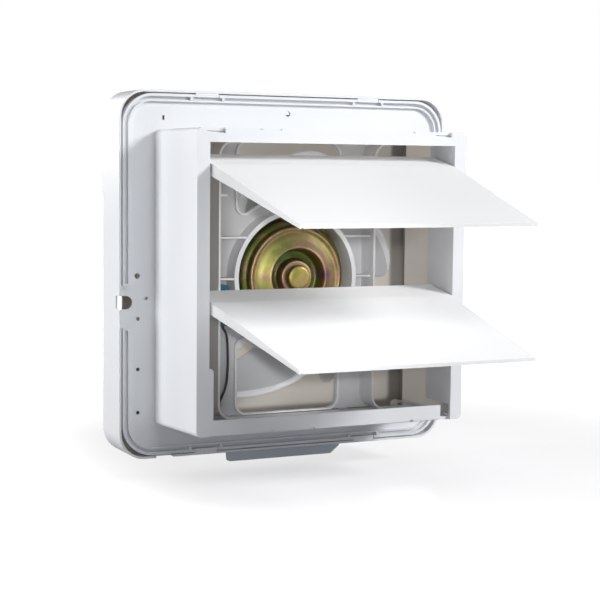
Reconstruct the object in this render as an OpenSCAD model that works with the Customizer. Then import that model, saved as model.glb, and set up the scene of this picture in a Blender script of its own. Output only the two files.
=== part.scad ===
// Wall exhaust fan with a two-flap gravity louvre, built piece by piece.
// +Z is up, +Y points out through the wall and -Y into the room.
// The origin is the centre of the four wall screws, level with the flange's rear face.

/* [Cover] */
// Width and height of the square front cover
panel_w = 300; // [285:1:330]
// Depth of the cover, from its front face to the rim that meets the wall
cover_d = 41.7; // [40:0.1:60]
// Outer corner radius of the cover
cover_r = 22; // [18:1:30]
// Wall of the cover and of its front panel
cover_wall = 1.8; // [1.4:0.1:2.6]
// Width of the lip that turns in at the front of the cover
lip_w = 6; // [4:0.5:10]
// Width of the intake slot that runs round the front panel
slot_w = 10; // [6:0.5:16]

/* [Flange and duct] */
// Thickness of the wall flange
plate_t = 2.2; // [1.6:0.1:3.2]
// Height of the ribs round the flange's edge
rib_h = 3.75; // [2.5:0.05:5]
// Corner radius of the wall flange
flange_r = 25.8; // [22:0.1:34]
// Outer width and height of the square duct
duct_w = 237; // [234:0.5:246]
// Wall of the duct
duct_wall = 2.5; // [1.8:0.1:3.2]
// Depth of the duct, from the flange's rear face to the louvre's rear face
duct_d = 92.4; // [84:0.1:120]
// How much lower the duct's floor is at the flange than at the louvre
duct_drop = 4.4; // [0:0.1:6]
// Diameter of the wall screw holes
screw_hole_d = 4.5; // [3.5:0.1:6]
// Diameter of the circle through the wall screw holes
screw_circle_d = 267; // [258:0.5:270]

/* [Louvre] */
// Width of the louvre frame's two side posts
post_w = 10.5; // [9:0.5:14]
// Flap length from its pivot to its tip
flap_l = 153.8; // [110:0.1:165]
// Thickness of a flap
flap_t = 2.4; // [1.6:0.1:3]
// Height from one flap's pivot to the other's
flap_pitch = 106.2; // [98:0.1:112]
// Angle of the upper flap below level, as stored
upper_angle = 16.8; // [5:0.1:40]
// Angle of the lower flap below level, as stored
lower_angle = 14.4; // [5:0.1:40]
// Diameter of a flap's pivot pins
pin_d = 3.2; // [2.4:0.1:4]

/* [Motor and fan] */
// Height of the fan's axis above the duct's centre line
fan_z = -2.6; // [-6:0.1:6]
// Diameter of the impeller over its blade tips
fan_d = 228; // [216:1:232]
// Number of impeller blades
blade_count = 6; // [5:1:7]
// Thickness of a blade
blade_t = 1.8; // [1.2:0.1:2.6]
// Diameter of the motor's shells
motor_d = 95; // [86:0.5:98]
// Diameter of the motor's shaft
shaft_d = 6; // [5:0.1:8]
// Inner diameter of the bracket's motor ring
ring_d = 105; // [101:0.5:108]
// Distance between the bracket's two upright walls, centre to centre
band_w = 142.8; // [138:0.2:156]

/* [Hidden] */
$fn = 96;

white = [0.93, 0.94, 0.95];
shade_white = [0.84, 0.85, 0.86];
zinc_yellow = [0.66, 0.58, 0.30];
steel = [0.62, 0.63, 0.65];
copper = [0.72, 0.42, 0.22];
bronze = [0.62, 0.50, 0.32];
slate = [0.36, 0.40, 0.44];
teal = [0.10, 0.36, 0.40];
black = [0.08, 0.08, 0.09];

// Clearances and the overrun of every cut
cut = 1;
seat_gap = 0.3;
run_gap = 0.05;

// Derived halves and planes
panel_half = panel_w / 2;
cover_in = panel_half - cover_wall;
flange_gap = 1;
flange_half = cover_in - flange_gap;
duct_half = duct_w / 2;
duct_in = duct_half - duct_wall;
duct_r = 4.5;
duct_floor = duct_in + duct_drop;
front_y = rib_h - cover_d;
screw_r = screw_circle_d / 2;

// Flange details: ribs, groove and the places where the cover hooks in
rib_w = 2.2;
groove_w = 2.6;
inner_rib_w = 1.5;
inner_rib_h = 3.0;
hook_x_share = 0.495;
hook_w = 20;
tick_reach = 13.9;
tick_w = 2;
notch_depth = 2.6;
cable_notch_z = -21.5;
cable_notch_h = 11;
cable_notch_depth = 9.4;
cable_bay_low = -42;
cable_bay_high = -8;
peg_hole_d = 3;
peg_x = 133;
peg_zs = [-35, -76.4, -112];
clip_hole_x = 126.1;
clip_hole_z = -18.4;
key_slot_x = 111.3;
key_slot_z = 128;
key_slot_w = 1.9;
key_slot_h = 3.6;
ledge_in = 51;
ledge_out = 60;
ledge_margin = 4.2;

// Louvre frame
frame_t = 3;
open_half = duct_half - post_w;
frame_wall = 2;
sleeve_d = 40;
top_bar_h = 11;
bottom_bar_h = 12.5;
bar_gap = 9.4;
bar_undercut = 0.8;
tab_w = 3.6;
tab_top = -65.7;
tab_r = 3;
lip_t = 1.5;
lip_d = 8;
wide_notch_w = 15.6;
wide_notch_h = 4;
wide_notch_xs_share = [0.87, -0.82];
small_notch_w = 3;
small_notch_h = 1.2;
small_notch_xs_share = [0.56, 0.42, -0.58];
low_notch_xs_share = [0.47, 0.16, -0.6];

// Flaps
side_gap = 1;
pivot_in = 12.65;
pivot_drop = 28;
pivot_y = duct_d - pivot_in;
upper_z = duct_half - pivot_drop;
lower_z = upper_z - flap_pitch;
flap_half = open_half - side_gap;
flap_top = 4.3;
flap_back = 21.5;
flap_back_drop = 2.3;
flap_bend = 12.3;
flap_step = 48;
step_inset = 3.1;
tip_inset = 9.7;
flap_lip = 9.5;
flap_tip_lip = 3;
lip_wall = 2.2;
front_lip = 2.6;
corner_notch = 1.6;
pin_reach = open_half + frame_wall - seat_gap / 2;
pin_r = pin_d / 2;
link_arm = 13;
link_drop = 3.5;
link_pin_r = 1.3;
link_eye_r = 3;
link_t = 1.8;
link_w = 3.2;
link_notch = 13;
lip_rise = 5;
link_gap = 0.4;
link_slack = 0.9;
link_x = flap_half - lip_wall - link_gap - link_t;

// Motor bracket
floor_t = 2.2;
band_half = band_w / 2;
band_wall = 1.8;
wall_h = 22.05;
bracket_gap = 0.3 + duct_drop / duct_d * (wall_h + floor_t);
bracket_low = bracket_gap - duct_floor;
bracket_top_gap = 5.8;
bracket_high = duct_in - bracket_top_gap;
bend_r = 12;
ring_wall = 3.8;
ring_h = 19.75;
web_t = 1.6;
web_h = 16.5;
web_zs = [31, -3];
short_web_z = 65.5;
short_web_l = 9;
window_half = 47;
window_gap = 9.7;
window_margin = 1.2;
window_corner_r = 9.6;
window_round = 6;
rim_w = 2;
rim_h = 2.5;
bracket_screw_x = (ledge_in + ledge_out) / 2;
bracket_screw_in = 7.2;
bracket_screw_zs = [bracket_low + 1.5 * bracket_screw_in, bracket_high - bracket_screw_in];
floor_skin = 0.6;
lead_slot_w = 4.4;
lead_slot_h = 7;
lead_slot_x = 62.4;
lead_slot_z = -108.4;

// Screws
screw_d = 3.6;
screw_fit = 0.15;
screw_head_d = 7;
screw_head_h = 2.2;
screw_slot = 1;
motor_screw_d = 2.6;
motor_screw_head_d = 5;
motor_screw_l = 8;

// Motor
motor_r = motor_d / 2;
motor_rim_r = ring_d / 2 + ring_wall + 1.7;
shell_t = 1.6;
shell_wall = 1.2;
motor_screw_r = ring_d / 2 + ring_wall / 2;
motor_screw_count = 4;
motor_rear = 24.5;
motor_front = 17;
shaft_r = shaft_d / 2;
bearing_r = 6;
bearing_l = 7;
rear_bearing_y = 11;
front_bearing_y = -21;
core_l = 14;
core_y = -10;
rotor_r = 24.4;
air_gap = 0.6;
coil_out = 4;
coil_h = 5;
cap_r = 10.2;
cap_h = 6;
cap_edge = 1.2;
hub_top_share = 0.847;
hub_r = 13.2;
boss_r = 9.5;
boss_h = 5;
washer_t = 0.8;
washer_r = 5.2;
seat_share = 0.36;

// Impeller
hub_wall = 2;
cup_r = motor_r + 4.5;
fan_gap = 6.95;
cup_front = front_y + fan_gap;
cup_l = 20;
spigot_r = 8;
spigot_l = 7.5;
nut_r = 9;
nut_h = 3.4;
nut_dome_r = 6.5;
blade_depth = 22;
blade_rear_y = cup_front + blade_depth;
blade_root_r = cup_r - hub_wall;
sweep_angle = -33.4;
chord_out_share = 0.737;
chord_in_share = 0.272;
camber = 5;

// Capacitor, lead and terminal block
cap_box = [11, 14, 34];
cap_box_r = 2;
cap_box_top = -8;
lead_d = 2;
block_base_t = 3;
block_size = [15, 11, 44];
block_low = -117;
barrel_w = 10;
barrel_gap = 3.5;
barrel_screw_d = 3.4;
peg_fit = 0.1;

// Inside of the cover, panel fixings and oil cup
web_span = 34;
corner_web_t = 2;
post_r = 5;
post_inset = 25;
post_at = panel_half - post_inset;
panel_pin_r = 2.6;
panel_pin_l = 9;
panel_r = 13;
panel_rim_w = 1.6;
panel_rim_h = 5;
hook_t = 4.2;
hook_l = 15;
pry_x_low = 103;
pry_x_high = 118;
pry_depth = 8;
drain_w = 40;
drain_l = 8;
tongue_x = 32;
tongue_w = 10;
tongue_t = 1.5;
tongue_h = 4;
cup_half = 53.8;
cup_foot_half = 47;
cup_near_lean = 2;
oil_h = 9.2;
cup_back_y = -2.8;
cup_len = 30;
cup_narrow = 17;
cup_round = 2.5;
cup_skin = 1.5;

// A flat drawing in X and Z, given thickness t from the plane y
module slab(y, t) {
    translate([0, y + t, 0]) rotate([90, 0, 0]) linear_extrude(t) children();
}

// A round bar along Y
module rod(x, y, z, l, r) {
    translate([x, y + l, z]) rotate([90, 0, 0]) cylinder(h = l, r = r);
}

// A round bar along X
module cross_rod(x, y, z, l, r) {
    translate([x, y, z]) rotate([0, 90, 0]) cylinder(h = l, r = r);
}

// A profile of radius and Y, turned about the fan's axis
module turned() {
    translate([0, 0, fan_z]) rotate([-90, 0, 0]) rotate_extrude() children();
}

module block(low, high) {
    translate(low) cube(high - low);
}

module round_square(half, r) {
    square([2 * half, 2 * (half - r)], center = true);
    square([2 * (half - r), 2 * half], center = true);
    for (x = [-1, 1], z = [-1, 1]) translate([x * (half - r), z * (half - r)]) circle(r = r);
}

// A band of the given width just inside a rounded square
module edge_band(half, r, w) {
    difference() {
        round_square(half, r);
        round_square(half - w, r - w);
    }
}

// The flat plate of the wall flange with its edge ribs and groove
module flange_ribs() {
    groove_half = flange_half - rib_w - groove_w;
    difference() {
        union() {
            slab(0, rib_h) edge_band(flange_half, flange_r, rib_w);
            slab(0, inner_rib_h)
                edge_band(groove_half, flange_r - rib_w - groove_w, inner_rib_w);
        }
        block([groove_half - 2 * inner_rib_w, -cut, cable_bay_low],
            [flange_half + cut, rib_h + cut, cable_bay_high]);
    }
    for (z = [cable_bay_low - tick_w, cable_bay_high])
        block([groove_half - inner_rib_w, 0, z], [flange_half, rib_h, z + tick_w]);
    for (s = [-1, 1], h = [-1, 1], e = [-1, 1]) {
        x = s * hook_x_share * panel_half + e * tick_reach;
        block([x - tick_w / 2, 0, h * (groove_half + groove_w / 2) - groove_w / 2],
            [x + tick_w / 2, rib_h, h * (groove_half + groove_w / 2) + groove_w / 2]);
    }
}

// Notches through which the cover's hooks pass
module hook_notches() {
    for (s = [-1, 1], h = [-1, 1]) {
        x = s * hook_x_share * panel_half;
        z = h * flange_half;
        block([x - hook_w / 2 - seat_gap, -plate_t - cut, z - notch_depth],
            [x + hook_w / 2 + seat_gap, rib_h + cut, z + notch_depth]);
    }
}

module flange_holes() {
    y = -plate_t - cut;
    l = plate_t + 2 * cut;
    for (a = [0:90:270]) rod(screw_r * cos(a), y, screw_r * sin(a), l, screw_hole_d / 2);
    for (z = peg_zs) rod(peg_x, y, z, l, peg_hole_d / 2);
    rod(clip_hole_x, y, clip_hole_z, l, peg_hole_d / 2);
    block([key_slot_x - key_slot_w / 2, y, key_slot_z - key_slot_h / 2],
        [key_slot_x + key_slot_w / 2, y + l, key_slot_z + key_slot_h / 2]);
    for (s = [-1, 1], z = bracket_screw_zs)
        rod(s * bracket_screw_x, y, z, l, screw_d / 2 + screw_fit);
}

module lead_slot(y, l) {
    reach = (lead_slot_h - lead_slot_w) / 2;
    for (e = [-1, 1]) rod(lead_slot_x, y, lead_slot_z + e * reach, l, lead_slot_w / 2);
    block([lead_slot_x - lead_slot_w / 2, y, lead_slot_z - reach],
        [lead_slot_x + lead_slot_w / 2, y + l, lead_slot_z + reach]);
}

module cable_notch() {
    r = cable_notch_h / 2;
    x = flange_half - cable_notch_depth + r;
    rod(x, -plate_t - cut, cable_notch_z, plate_t + rib_h + 2 * cut, r);
    block([x, -plate_t - cut, cable_notch_z - r],
        [flange_half + cut, rib_h + cut, cable_notch_z + r]);
}

// A square with its two upper corners rounded, drawn well past its lower side
module arched_square(half, r) {
    tall = 4 * half;
    translate([-half, half - tall]) square([2 * half, tall - r]);
    translate([r - half, half - tall]) square([2 * (half - r), tall]);
    for (x = [-1, 1]) translate([x * (half - r), half - r]) circle(r = r);
}

// The duct's inside or outside: an upright prism cut by a tilted one that shapes its floor
module duct_prism(half, r, low, high) {
    tilt_angle = atan(duct_drop / duct_d);
    intersection() {
        slab(low, high - low) arched_square(half, r);
        translate([0, duct_d, -half]) rotate([tilt_angle, 0, 0]) translate([0, -duct_d, half])
            slab(low - duct_d, 2 * duct_d + high - low) mirror([0, 1]) arched_square(half, r);
    }
}

// Ledges that reach in from the duct to carry the bracket's screws
module bracket_ledges() {
    low = bracket_screw_zs[0] + ledge_margin;
    high = bracket_screw_zs[1] - ledge_margin;
    for (s = [0, 1]) mirror([s, 0, 0]) {
        block([ledge_in, -plate_t, -duct_floor - plate_t], [ledge_out, 0, low]);
        block([ledge_in, -plate_t, high], [ledge_out, 0, duct_in + plate_t]);
    }
}

module housing() color(white) {
    difference() {
        union() {
            difference() {
                union() {
                    slab(-plate_t, plate_t) round_square(flange_half, flange_r);
                    flange_ribs();
                    duct_prism(duct_half, duct_r, -plate_t / 2, duct_d - frame_t);
                }
                duct_prism(duct_in, duct_r - duct_wall, -plate_t - cut, duct_d);
            }
            bracket_ledges();
        }
        flange_holes();
        hook_notches();
        cable_notch();
    }
}

// Rear flange, side walls and locating lip of the louvre frame
module shutter_frame() color(white) {
    face_y = duct_d - frame_t;
    lip_half = duct_in - seat_gap;
    side_low = -duct_half + bottom_bar_h;
    side_high = duct_half - top_bar_h;
    difference() {
        union() {
            slab(face_y, frame_t) difference() {
                round_square(duct_half, duct_r);
                translate([-open_half, side_low])
                    square([2 * open_half, side_high - side_low]);
                translate([-open_half, -duct_half - cut])
                    square([bar_gap, bottom_bar_h + 2 * cut]);
                translate([bar_gap - open_half, -duct_half - cut])
                    square([2 * open_half - bar_gap, bar_undercut + cut]);
            }
            slab(face_y - lip_d, lip_d)
                edge_band(lip_half, duct_r - duct_wall, lip_t);
            for (s = [-1, 1]) side_wall(s, side_low, side_high, face_y);
            slab(face_y, frame_t) post_tab();
        }
        for (s = wide_notch_xs_share) edge_notch(s, 1, wide_notch_w, wide_notch_h, frame_t + cut);
        for (s = small_notch_xs_share)
            edge_notch(s, 1, small_notch_w, small_notch_h, frame_t / 2);
        for (s = low_notch_xs_share)
            edge_notch(s, -1, small_notch_w, small_notch_h + bar_undercut, frame_t / 2);
        block([-open_half, face_y - lip_d - cut, -duct_in - cut],
            [bar_gap - open_half, face_y, side_low - 2 * lip_t]);
        for (z = [upper_z, lower_z])
            cross_rod(-duct_half, pivot_y, z, duct_w, pin_r + run_gap);
    }
}

module side_wall(s, low, high, face_y) {
    x = s > 0 ? open_half : -open_half - frame_wall;
    block([x, duct_d - sleeve_d, low], [x + frame_wall, face_y + frame_t / 2, high]);
}

// The post's wider foot, with a rounded upper corner
module post_tab() {
    low = -duct_half + bottom_bar_h - bar_undercut;
    translate([open_half - tab_w, low]) square([tab_w + frame_wall, tab_top - tab_r - low]);
    translate([open_half - tab_w + tab_r, low]) square([frame_wall + tab_w - tab_r, tab_top - low]);
    translate([open_half - tab_w + tab_r, tab_top - tab_r]) circle(r = tab_r);
}

module edge_notch(share, side, w, h, d) {
    x = share * duct_half;
    z = side * duct_half;
    block([x - w / 2, duct_d - d, z - h], [x + w / 2, duct_d + cut, z + h]);
}

// A flap in its own frame: pivot at the origin, tip along +Y, top face up
module flap_plan(inset) {
    polygon([
        [-flap_half + inset, -flap_back + inset],
        [-flap_half + inset, flap_bend],
        [-flap_half + step_inset + inset, flap_step],
        [-flap_half + tip_inset + inset, flap_l - inset],
        [flap_half - tip_inset - inset, flap_l - inset],
        [flap_half - step_inset - inset, flap_step],
        [flap_half - inset, flap_bend],
        [flap_half - inset, -flap_back + inset]]);
}

// The outline of a flap seen from its side, between its top face and a lower line
module flap_side(points) {
    rotate([90, 0, 90]) translate([0, 0, -flap_half]) linear_extrude(2 * flap_half)
        polygon(points);
}

module flap_body() {
    back_z = flap_top - flap_back_drop;
    tall = 2 * flap_lip;
    sheet = [[-flap_back, back_z], [flap_bend, flap_top], [flap_l, flap_top],
        [flap_l, flap_top - flap_t], [flap_bend, flap_top - flap_t],
        [-flap_back, back_z - flap_t]];
    lips = [[-flap_back, back_z], [flap_bend, flap_top], [flap_l, flap_top],
        [flap_l, flap_top - flap_tip_lip], [flap_bend, flap_top - flap_lip],
        [lip_rise - flap_back, flap_top - flap_lip], [-flap_back, back_z - flap_t]];
    intersection() {
        flap_side(sheet);
        translate([0, 0, -tall]) linear_extrude(2 * tall) difference() {
            flap_plan(0);
            link_slot_plan();
        }
    }
    intersection() {
        flap_side(lips);
        translate([0, 0, -tall]) linear_extrude(2 * tall) difference() {
            flap_plan(0);
            flap_plan_core();
            flap_corner_cuts();
        }
    }
}

// The part of the plan that has no lip under it
module flap_plan_core() {
    difference() {
        flap_plan(lip_wall);
        translate([-flap_half, flap_l - front_lip]) square([2 * flap_half, front_lip]);
    }
    translate([-flap_half + lip_wall, -flap_back - cut])
        square([2 * (flap_half - lip_wall), flap_back]);
}

// Notch in the back edge, beside the lip, that the link bar passes through
module link_slot_plan() {
    translate([link_x - link_gap, -flap_back - cut])
        square([flap_half - lip_wall - link_x + link_gap, link_notch + cut]);
}

// Small gaps between the side lips and the front lip
module flap_corner_cuts() {
    tip_half = flap_half - tip_inset - lip_wall;
    for (s = [-1, 1]) translate([s * tip_half - corner_notch / 2, flap_l - front_lip])
        square([corner_notch, front_lip + cut]);
}

module flap_pins() {
    for (s = [0, 1]) mirror([s, 0, 0])
        cross_rod(flap_half - lip_wall, 0, 0, pin_reach - flap_half + lip_wall, pin_r);
    cross_rod(link_x - seat_gap, -link_arm, -link_drop, flap_half - lip_wall - link_x + 2 * seat_gap,
        link_pin_r);
}

module placed_flap(z, slope) {
    translate([0, pivot_y, z]) rotate([-slope, 0, 0]) {
        flap_body();
        flap_pins();
    }
}

module upper_flap() color(white) placed_flap(upper_z, upper_angle);

module lower_flap() color(white) placed_flap(lower_z, lower_angle);

// Where a flap at the given height and slope carries its link pin
function link_point(z, slope) = [
    pivot_y - link_arm * cos(slope) - link_drop * sin(slope),
    z + link_arm * sin(slope) - link_drop * cos(slope)];

// The bar that makes both flaps move together
module link_bar() color(shade_white) {
    top = link_point(upper_z, upper_angle);
    foot = link_point(lower_z, lower_angle);
    difference() {
        union() {
            cross_rod(link_x, top[0], top[1], link_t, link_eye_r);
            cross_rod(link_x, foot[0], foot[1], link_t, link_eye_r);
            block([link_x, top[0] - link_w / 2, foot[1]],
                [link_x + link_t, top[0] + link_w / 2, top[1]]);
        }
        cross_rod(link_x - cut, top[0], top[1], link_t + 2 * cut, link_pin_r + run_gap);
        cross_rod(link_x - cut, foot[0], foot[1], link_t + 2 * cut, link_pin_r + link_slack);
    }
}

// An air window above the fan's axis, grown by g all round, with its far edge at reach
module window(g, reach) {
    arc_r = ring_d / 2 + ring_wall + window_gap - g;
    top = reach - window_margin + g;
    corner = window_corner_r + g;
    round_r = window_round + g;
    round_x = window_half - window_round;
    round_z = sqrt(pow(ring_d / 2 + ring_wall + window_gap + window_round, 2)
        - pow(round_x, 2));
    touch_share = arc_r / (arc_r + round_r);
    difference() {
        union() {
            translate([-window_half - g, round_z])
                square([2 * (window_half + g), top - corner - round_z]);
            translate([corner - window_half - g, round_z])
                square([2 * (window_half + g - corner), top - round_z]);
            translate([-round_x * touch_share, 0])
                square([2 * round_x * touch_share, round_z]);
            for (s = [-1, 1]) {
                translate([s * (window_half + g - corner), top - corner]) circle(r = corner);
                translate([s * round_x, round_z]) circle(r = round_r);
            }
        }
        circle(r = arc_r);
    }
}

// Upper and lower window, the lower one turned over about the fan's axis
module windows(g) {
    translate([0, fan_z]) {
        window(g, bracket_high - fan_z);
        mirror([0, 1]) window(g, fan_z - bracket_low);
    }
}

// An upright wall of the bracket, seen along Y, with both ends curving the same way
module bracket_wall(x) {
    low = bracket_low + bend_r + band_wall / 2;
    high = bracket_high - bend_r - band_wall / 2;
    translate([x - band_wall / 2, low]) square([band_wall, high - low]);
    for (z = [low, high]) translate([x - bend_r, z]) intersection() {
        difference() {
            circle(r = bend_r + band_wall / 2);
            circle(r = bend_r - band_wall / 2);
        }
        translate([0, z > 0 ? 0 : -2 * bend_r]) square(2 * bend_r);
    }
}

// The outline of the bracket's floor, with feet under the wall ends that curve outwards
module bracket_plan() {
    half = band_half + band_wall / 2;
    foot = bend_r + band_wall / 2;
    translate([-half, bracket_low]) square([2 * half, bracket_high - bracket_low]);
    difference() {
        for (z = [bracket_low, bracket_high - foot])
            translate([-band_half - bend_r, z]) square([foot, foot]);
        for (z = [bracket_low + foot, bracket_high - foot])
            translate([-band_half - bend_r, z]) circle(r = bend_r - band_wall / 2);
    }
}

module motor_bracket() color(shade_white) {
    ring_out = ring_d / 2 + ring_wall;
    difference() {
        union() {
            slab(0, floor_t) difference() {
                bracket_plan();
                windows(0);
            }
            slab(floor_t / 2, rim_h + floor_t / 2) intersection() {
                bracket_plan();
                difference() {
                    windows(rim_w);
                    windows(0);
                }
            }
            slab(floor_t / 2, wall_h + floor_t / 2) {
                bracket_wall(band_half);
                bracket_wall(-band_half);
            }
            turned() translate([ring_d / 2, 0]) square([ring_wall, ring_h]);
            for (z = web_zs, s = [-1, 1]) {
                near = sqrt(pow(ring_out, 2) - pow(z - fan_z, 2)) - ring_wall / 2;
                x = s > 0 ? near : -band_half;
                block([x, floor_t / 2, z - web_t / 2],
                    [x + band_half - near, floor_t + web_h, z + web_t / 2]);
            }
            block([band_half - short_web_l, floor_t / 2, short_web_z - web_t / 2],
                [band_half, floor_t + web_h, short_web_z + web_t / 2]);
        }
        rod(0, -cut, fan_z, floor_t + 2 * cut, ring_d / 2);
        for (s = [-1, 1], z = bracket_screw_zs)
            rod(s * bracket_screw_x, -cut, z, floor_t - floor_skin + cut, screw_d / 2);
        lead_slot(-cut, floor_t + 2 * cut);
        motor_screw_holes(-cut, motor_screw_l + cut);
    }
}

module motor_screw_holes(y, l) {
    for (i = [0:motor_screw_count - 1]) {
        a = 45 + 360 / motor_screw_count * i;
        rod(motor_screw_r * cos(a), y, fan_z + motor_screw_r * sin(a), l, motor_screw_d / 2);
    }
}

// A pan head screw with its head at the front
module pan_screw(x, y, z, d, head_d, l) {
    difference() {
        union() {
            rod(x, y, z, l, d / 2);
            rod(x, y - screw_head_h, z, screw_head_h, head_d / 2);
        }
        block([x - head_d, y - screw_head_h - cut, z - screw_slot / 2],
            [x + head_d, y - screw_head_h / 2, z + screw_slot / 2]);
    }
}

module bracket_screws() color(steel) {
    for (s = [-1, 1], z = bracket_screw_zs)
        pan_screw(s * bracket_screw_x, -plate_t, z, screw_d, screw_head_d,
            plate_t + floor_t - floor_skin);
}

module motor_screws() color(steel) {
    for (i = [0:motor_screw_count - 1]) {
        a = 45 + 360 / motor_screw_count * i;
        pan_screw(motor_screw_r * cos(a), -2 * shell_t, fan_z + motor_screw_r * sin(a),
            motor_screw_d, motor_screw_head_d, 2 * shell_t + motor_screw_l);
    }
}

// Pressed rear shell: radii as shares of the motor's, depths as shares of its rear depth
rear_outer_shares = [[1, 0], [1, 0.39], [0.985, 0.46], [0.945, 0.53], [0.905, 0.575],
    [0.893, 0.7], [0.875, 0.785], [0.85, 0.81], [0.825, 0.77], [0.80, 0.722],
    [0.745, 0.755], [0.66, 0.835], [0.58, 0.935], [0.54, 0.985], [0.52, 0.985],
    [0.503, 0.93], [0.49, 0.78], [0.475, 0.55], [0.455, 0.49], [0.425, 0.475],
    [0.345, 0.475], [0.322, 0.50], [0.31, 0.56], [0.303, 0.76], [0.295, 0.82]];
rear_inner_shares = [[0.335, 0.40], [0.465, 0.40], [0.545, 0.73], [0.66, 0.70],
    [0.79, 0.62], [0.86, 0.55], [0.94, 0.40]];

module motor_rear_shell() color(zinc_yellow) {
    hub_y = hub_top_share * motor_rear;
    difference() {
        union() {
            turned() polygon(concat(
                [[motor_rim_r, -shell_t], [motor_rim_r, 0]],
                [for (p = rear_outer_shares) [p[0] * motor_r, p[1] * motor_rear]],
                [[hub_r, hub_y], [shaft_r + 2 * seat_gap, hub_y],
                    [shaft_r + 2 * seat_gap, rear_bearing_y + bearing_l],
                    [bearing_r, rear_bearing_y + bearing_l],
                    [bearing_r, 0.40 * motor_rear]],
                [for (p = rear_inner_shares) [p[0] * motor_r, p[1] * motor_rear]],
                [[motor_r - shell_wall, seat_share * motor_rear],
                    [motor_r - shell_wall, -shell_t]]));
        }
        motor_screw_holes(-shell_t - cut, shell_t + 2 * cut);
    }
}

module motor_front_shell() color(zinc_yellow) {
    inner_r = motor_r - shell_wall;
    face_y = -motor_front;
    difference() {
        turned() polygon([
            [motor_rim_r, -shell_t], [motor_rim_r, -2 * shell_t],
            [motor_r, -2 * shell_t], [motor_r, face_y + 2 * shell_t],
            [motor_r - 2 * shell_t, face_y], [boss_r + shell_t, face_y],
            [boss_r, face_y - boss_h], [shaft_r + 2 * seat_gap, face_y - boss_h],
            [shaft_r + 2 * seat_gap, front_bearing_y], [bearing_r, front_bearing_y],
            [bearing_r, face_y + shell_wall], [inner_r - 2 * shell_t, face_y + shell_wall],
            [inner_r, face_y + 2 * shell_t + shell_wall], [inner_r, -shell_t]]);
        motor_screw_holes(-2 * shell_t - cut, shell_t + 2 * cut);
    }
}

module stator_core() color(steel) {
    turned() translate([rotor_r + air_gap, core_y])
        square([motor_r - shell_wall - rotor_r - air_gap, core_l]);
}

module stator_coils() color(copper) {
    inner = rotor_r + air_gap + coil_out;
    outer = motor_r - shell_wall - 2 * coil_out;
    turned() translate([inner, core_y - coil_h]) square([outer - inner, coil_h]);
    turned() translate([inner, core_y + core_l]) square([outer - inner, coil_h]);
}

module rotor_core() color(steel) {
    turned() translate([shaft_r, core_y]) square([rotor_r - shaft_r, core_l]);
}

module motor_shaft() color(steel) {
    front = cup_front - nut_h / 2;
    turned() square_profile(0, shaft_r, front, rear_bearing_y + bearing_l + shell_wall);
}

module square_profile(r_in, r_out, y_low, y_high) {
    translate([r_in, y_low]) square([r_out - r_in, y_high - y_low]);
}

module rear_bearing() color(bronze) {
    turned() square_profile(shaft_r + run_gap, bearing_r, rear_bearing_y,
        rear_bearing_y + bearing_l);
}

module front_bearing() color(bronze) {
    turned() square_profile(shaft_r + run_gap, bearing_r, front_bearing_y,
        front_bearing_y + bearing_l);
}

// Domed cap over the rear bearing
module bearing_cap() color(zinc_yellow) {
    low = hub_top_share * motor_rear;
    turned() polygon([[0, low], [cap_r, low], [cap_r, low + cap_h - 2 * cap_edge],
        [cap_r - cap_edge / 2, low + cap_h - cap_edge], [cap_r - 2 * cap_edge, low + cap_h],
        [0, low + cap_h]]);
}

module thrust_washers() color(black) {
    turned() square_profile(shaft_r, washer_r, rear_bearing_y - seat_gap - washer_t,
        rear_bearing_y - seat_gap);
    turned() square_profile(shaft_r, washer_r, front_bearing_y + bearing_l + seat_gap,
        front_bearing_y + bearing_l + seat_gap + washer_t);
}

// Blade outline: shares of the way from root to tip, with angles from +X towards +Z
blade_rear_shares = [[0, 228], [0.23, 235], [0.42, 242], [0.545, 247.6], [0.645, 256],
    [0.735, 266.4], [0.82, 275], [0.89, 281], [0.97, 289.5], [1, 295]];
blade_front_shares = [[1, 299], [0.96, 302], [0.88, 303], [0.735, 302], [0.545, 296],
    [0.42, 292], [0.23, 284], [0, 276]];

module blade_plan() {
    span = fan_d / 2 - blade_root_r;
    polygon([for (p = concat(blade_rear_shares, blade_front_shares))
        (blade_root_r + p[0] * span) * [cos(p[1]), sin(p[1])]]);
}

// The cambered sheet that a blade is cut from: part of a tube whose axis is swept
module blade_sheet() {
    near = -chord_out_share * fan_d / 2;
    far = -chord_in_share * fan_d / 2;
    rise = blade_rear_y - cup_front;
    chord = sqrt(pow(far - near, 2) + pow(rise, 2));
    bend = pow(chord, 2) / (8 * camber) + camber / 2;
    middle = [(near + far) / 2, (blade_rear_y + cup_front) / 2];
    centre = [middle[0] + (bend - camber) * rise / chord,
        middle[1] + (bend - camber) * (far - near) / chord];
    rotate([0, -sweep_angle, 0]) translate([0, centre[1], centre[0]]) rotate([0, 90, 0])
        difference() {
            cylinder(h = 2 * fan_d, r = bend + blade_t / 2, center = true);
            cylinder(h = 2 * fan_d + cut, r = bend - blade_t / 2, center = true);
        }
}

module blade() {
    intersection() {
        slab(cup_front - blade_t, blade_rear_y - cup_front + 2 * blade_t) blade_plan();
        blade_sheet();
    }
}

module impeller() color(shade_white) {
    turned() polygon([
        [shaft_r, cup_front], [cup_r - hub_wall, cup_front], [cup_r, cup_front + hub_wall],
        [cup_r, cup_front + cup_l], [cup_r - hub_wall, cup_front + cup_l],
        [cup_r - hub_wall, cup_front + hub_wall], [spigot_r, cup_front + hub_wall],
        [spigot_r, cup_front + spigot_l], [shaft_r, cup_front + spigot_l]]);
    for (i = [0:blade_count - 1])
        translate([0, 0, fan_z]) rotate([0, 360 / blade_count * i, 0]) difference() {
            blade();
            rod(0, cup_front - 2 * blade_t, 0, cup_l + 4 * blade_t, cup_r - hub_wall / 2);
        }
}

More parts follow.
